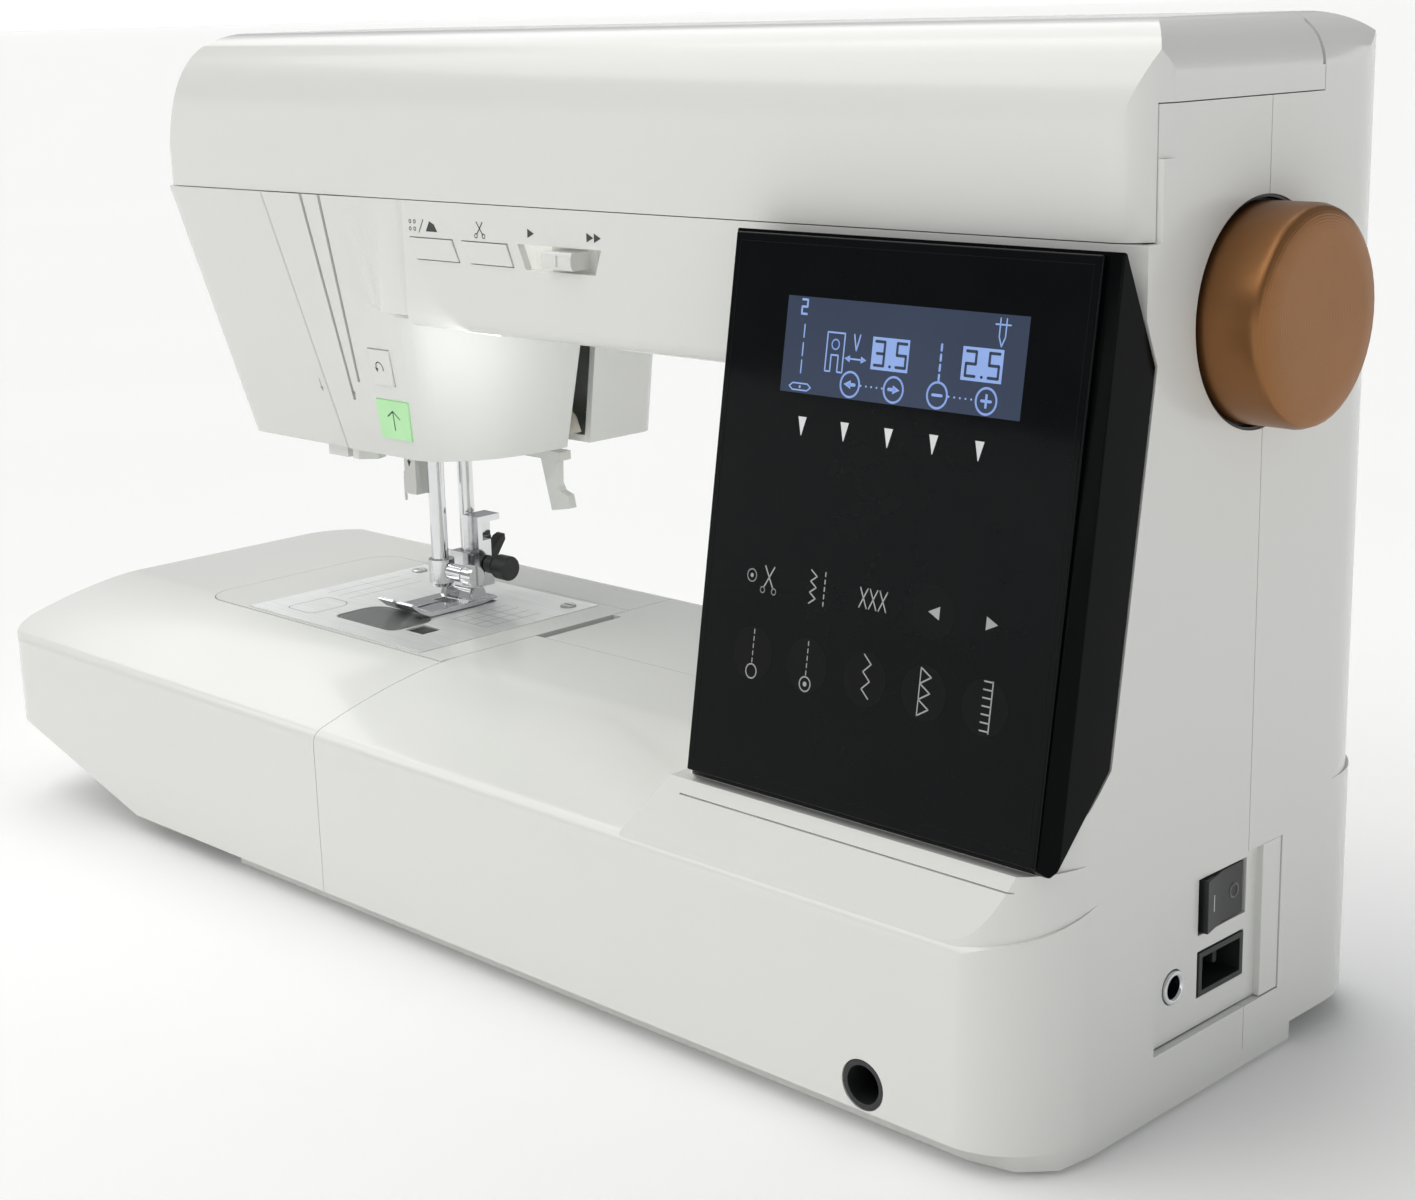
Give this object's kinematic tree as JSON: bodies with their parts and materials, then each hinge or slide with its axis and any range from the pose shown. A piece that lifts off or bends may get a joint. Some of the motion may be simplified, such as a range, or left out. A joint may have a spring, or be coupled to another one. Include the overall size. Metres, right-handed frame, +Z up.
{
  "type": "sewing machine",
  "caption": "Computerised sewing machine with flat extension table, free arm, tilted touch panel, side handwheel, lifting top lid and moving stitching parts.",
  "frame": {"origin": "bottom centre of the bounding box, between the rubber feet at the level they stand on", "axes": "+X along the arm to the handwheel, -Y to the user, +Z up"},
  "size_m": [0.53, 0.176, 0.2937],
  "materials": {
    "white_plastic": "glossy, slightly warm white moulding",
    "deck_plastic": "satin light grey",
    "rubber": "matt black",
    "brushed_steel": "fine brushed",
    "clear_plastic": "clear",
    "black_plastic": "satin black",
    "chrome": "polished",
    "beige_plastic": "satin",
    "copper": "satin copper coloured",
    "cast_aluminium": "as cast",
    "lamp": "diffusing",
    "black_gloss": "polished black",
    "smoked_glass": "smoked, glossy",
    "lcd": "blue-grey display",
    "circuit_board": "green lacquer",
    "lit_green": "translucent, lit from behind"
  },
  "bodies": {
    "body": {"base_tray": "white_plastic", "foot_front_left": "rubber", "foot_front_right": "rubber", "foot_rear_left": "rubber", "foot_rear_right": "rubber", "front_shell": "white_plastic", "rear_shell": "white_plastic", "face_cover": "white_plastic", "head_cover": "white_plastic", "free_arm": "white_plastic", "top_deck": "deck_plastic", "needle_plate": "brushed_steel", "thread_cutter": "white_plastic", "tension_unit": "chrome", "motor": "black_plastic", "cast_frame": "cast_aluminium", "led_lamp": "lamp", "spool_pin": "deck_plastic", "panel_housing": "black_gloss", "panel_glass": "smoked_glass", "lcd_module": "lcd", "main_board": "circuit_board", "socket_panel": "white_plastic", "power_inlet": "black_plastic", "pedal_jack": "chrome", "knee_socket": "white_plastic", "bobbin_case": "black_plastic", "timing_belt": "rubber", "motor_belt": "rubber"},
    "table": {"extension_table": "white_plastic"},
    "lid": {"top_lid": "white_plastic"},
    "handle": {"carry_handle": "white_plastic"},
    "drive_shaft": {"main_shaft": "brushed_steel", "handwheel": "copper"},
    "hook_shaft": {"lower_shaft": "brushed_steel"},
    "hook": {"hook_race": "brushed_steel"},
    "pulley": {"motor_pulley": "brushed_steel"},
    "needle_carrier": {"needle_bar": "chrome", "needle": "chrome"},
    "needle_screw": {"clamp_screw": "chrome"},
    "take_up": {"take_up_lever": "chrome"},
    "presser": {"presser_bar": "chrome", "foot_ankle": "chrome"},
    "foot_screw": {"ankle_screw": "black_plastic"},
    "foot": {"foot_sole": "chrome"},
    "snap_lever": {"foot_release": "black_plastic"},
    "lifter": {"presser_lever": "beige_plastic"},
    "feed": {"feed_dog": "brushed_steel"},
    "hook_cover": {"bobbin_cover": "clear_plastic"},
    "cover_slide": {"cover_release": "black_plastic"},
    "thread_bobbin": {"bobbin": "clear_plastic"},
    "threader": {"needle_threader": "white_plastic"},
    "buttonhole_arm": {"buttonhole_lever": "white_plastic"},
    "start_stop": {"start_stop_button": "lit_green"},
    "reverse": {"reverse_button": "white_plastic"},
    "needle_up_down": {"needle_button": "white_plastic"},
    "thread_cut": {"cutter_button": "white_plastic"},
    "speed": {"speed_slider": "white_plastic"},
    "power": {"rocker_switch": "black_plastic"},
    "winder": {"winder_spindle": "deck_plastic"}
  },
  "joints": [
    {"name": "table_slides_off", "type": "slide", "parent": "body", "child": "table", "axis": [-1, 0, 0], "range_m": [0, 0.16]},
    {"name": "lid_hinge", "type": "hinge", "parent": "body", "child": "lid", "pos_m": [0, 0.0371, 0.2925], "axis": [-1, 0, 0], "range_deg": [0, 80]},
    {"name": "handle_fold", "type": "hinge", "parent": "body", "child": "handle", "pos_m": [0.06, 0.056, 0.2815], "axis": [1, 0, 0], "range_deg": [0, 120]},
    {"name": "handwheel_turn", "type": "hinge", "parent": "body", "child": "drive_shaft", "pos_m": [0, 0.011, 0.2173], "axis": [1, 0, 0], "continuous": true},
    {"name": "lower_shaft_turn", "type": "hinge", "parent": "body", "child": "hook_shaft", "pos_m": [0, 0.011, 0.038], "axis": [1, 0, 0], "continuous": true},
    {"name": "hook_turn", "type": "hinge", "parent": "body", "child": "hook", "pos_m": [-0.117, -0.0015, 0.05], "axis": [0, 0, 1], "continuous": true},
    {"name": "motor_pulley_turn", "type": "hinge", "parent": "body", "child": "pulley", "pos_m": [0.19, 0.052, 0.112], "axis": [1, 0, 0], "continuous": true},
    {"name": "needle_bar_stroke", "type": "slide", "parent": "body", "child": "needle_carrier", "axis": [0, 0, 1], "range_m": [0, 0.032]},
    {"name": "needle_screw_turn", "type": "hinge", "parent": "needle_carrier", "child": "needle_screw", "pos_m": [-0.1133, 0.0193, 0.0915], "axis": [1, 0, 0], "range_deg": [0, 360]},
    {"name": "take_up_swing", "type": "hinge", "parent": "body", "child": "take_up", "pos_m": [-0.092, -0.008, 0.216], "axis": [-1, 0, 0], "range_deg": [0, 45]},
    {"name": "presser_lift", "type": "slide", "parent": "body", "child": "presser", "axis": [0, 0, 1], "range_m": [0, 0.0056]},
    {"name": "foot_screw_turn", "type": "hinge", "parent": "presser", "child": "foot_screw", "pos_m": [-0.1126, 0.0324, 0.093], "axis": [1, 0, 0], "range_deg": [0, 360]},
    {"name": "foot_rock", "type": "hinge", "parent": "presser", "child": "foot", "pos_m": [-0.1152, 0.0285, 0.082], "axis": [-1, 0, 0], "range_deg": [0, 6]},
    {"name": "snap_lever_press", "type": "hinge", "parent": "presser", "child": "snap_lever", "pos_m": [-0.1092, 0.0355, 0.096], "axis": [1, 0, 0], "range_deg": [0, 6], "stiffness_Nm_per_rad": 0.05},
    {"name": "lifter_raise", "type": "hinge", "parent": "body", "child": "lifter", "pos_m": [-0.104, 0.0422, 0.165], "axis": [0, -1, 0], "range_deg": [0, 30]},
    {"name": "feed_stroke", "type": "slide", "parent": "body", "child": "feed", "axis": [0, 1, 0], "range_m": [-0.0022, 0.0022]},
    {"name": "hook_cover_tilt", "type": "hinge", "parent": "body", "child": "hook_cover", "pos_m": [-0.11875, 0.004, 0.0758], "axis": [-1, 0, 0], "range_deg": [0, 10]},
    {"name": "cover_release_slide", "type": "slide", "parent": "body", "child": "cover_slide", "axis": [1, 0, 0], "range_m": [0, 0.0018], "stiffness_N_per_m": 300},
    {"name": "bobbin_spin", "type": "hinge", "parent": "body", "child": "thread_bobbin", "pos_m": [-0.117, -0.0015, 0.06], "axis": [0, 0, 1], "continuous": true},
    {"name": "threader_pull", "type": "slide", "parent": "body", "child": "threader", "axis": [0, 0, -1], "range_m": [0, 0.018], "stiffness_N_per_m": 20, "springref_m": -0.01},
    {"name": "buttonhole_pull", "type": "slide", "parent": "body", "child": "buttonhole_arm", "axis": [0, 0, -1], "range_m": [0, 0.036]},
    {"name": "start_stop_press", "type": "slide", "parent": "body", "child": "start_stop", "axis": [0, 0.9527, 0.3039], "range_m": [0, 0.0012], "stiffness_N_per_m": 900},
    {"name": "reverse_press", "type": "slide", "parent": "body", "child": "reverse", "axis": [0, 0.9527, 0.3039], "range_m": [0, 0.0012], "stiffness_N_per_m": 900},
    {"name": "needle_button_press", "type": "slide", "parent": "body", "child": "needle_up_down", "axis": [0, 1, 0], "range_m": [0, 0.001], "stiffness_N_per_m": 900},
    {"name": "cutter_button_press", "type": "slide", "parent": "body", "child": "thread_cut", "axis": [0, 1, 0], "range_m": [0, 0.001], "stiffness_N_per_m": 900},
    {"name": "speed_slide", "type": "slide", "parent": "body", "child": "speed", "axis": [1, 0, 0], "range_m": [-0.008, 0.006]},
    {"name": "power_rock", "type": "hinge", "parent": "body", "child": "power", "pos_m": [0.24, 0.0043, 0.0554], "axis": [0, 0, 1], "range_deg": [-10, 0]},
    {"name": "winder_spin", "type": "hinge", "parent": "body", "child": "winder", "pos_m": [0.16, 0.008, 0.24], "axis": [0, 0, 1], "continuous": true}
  ],
  "couplings": [
    {"joint": "lower_shaft_turn", "follows": "handwheel_turn", "ratio": 1},
    {"joint": "hook_turn", "follows": "handwheel_turn", "ratio": 2},
    {"joint": "motor_pulley_turn", "follows": "handwheel_turn", "ratio": 3.2},
    {"joint": "take_up_swing", "follows": "needle_bar_stroke", "rad_per_m": 24.534},
    {"joint": "lifter_raise", "follows": "presser_lift", "rad_per_m": 93.49}
  ]
}
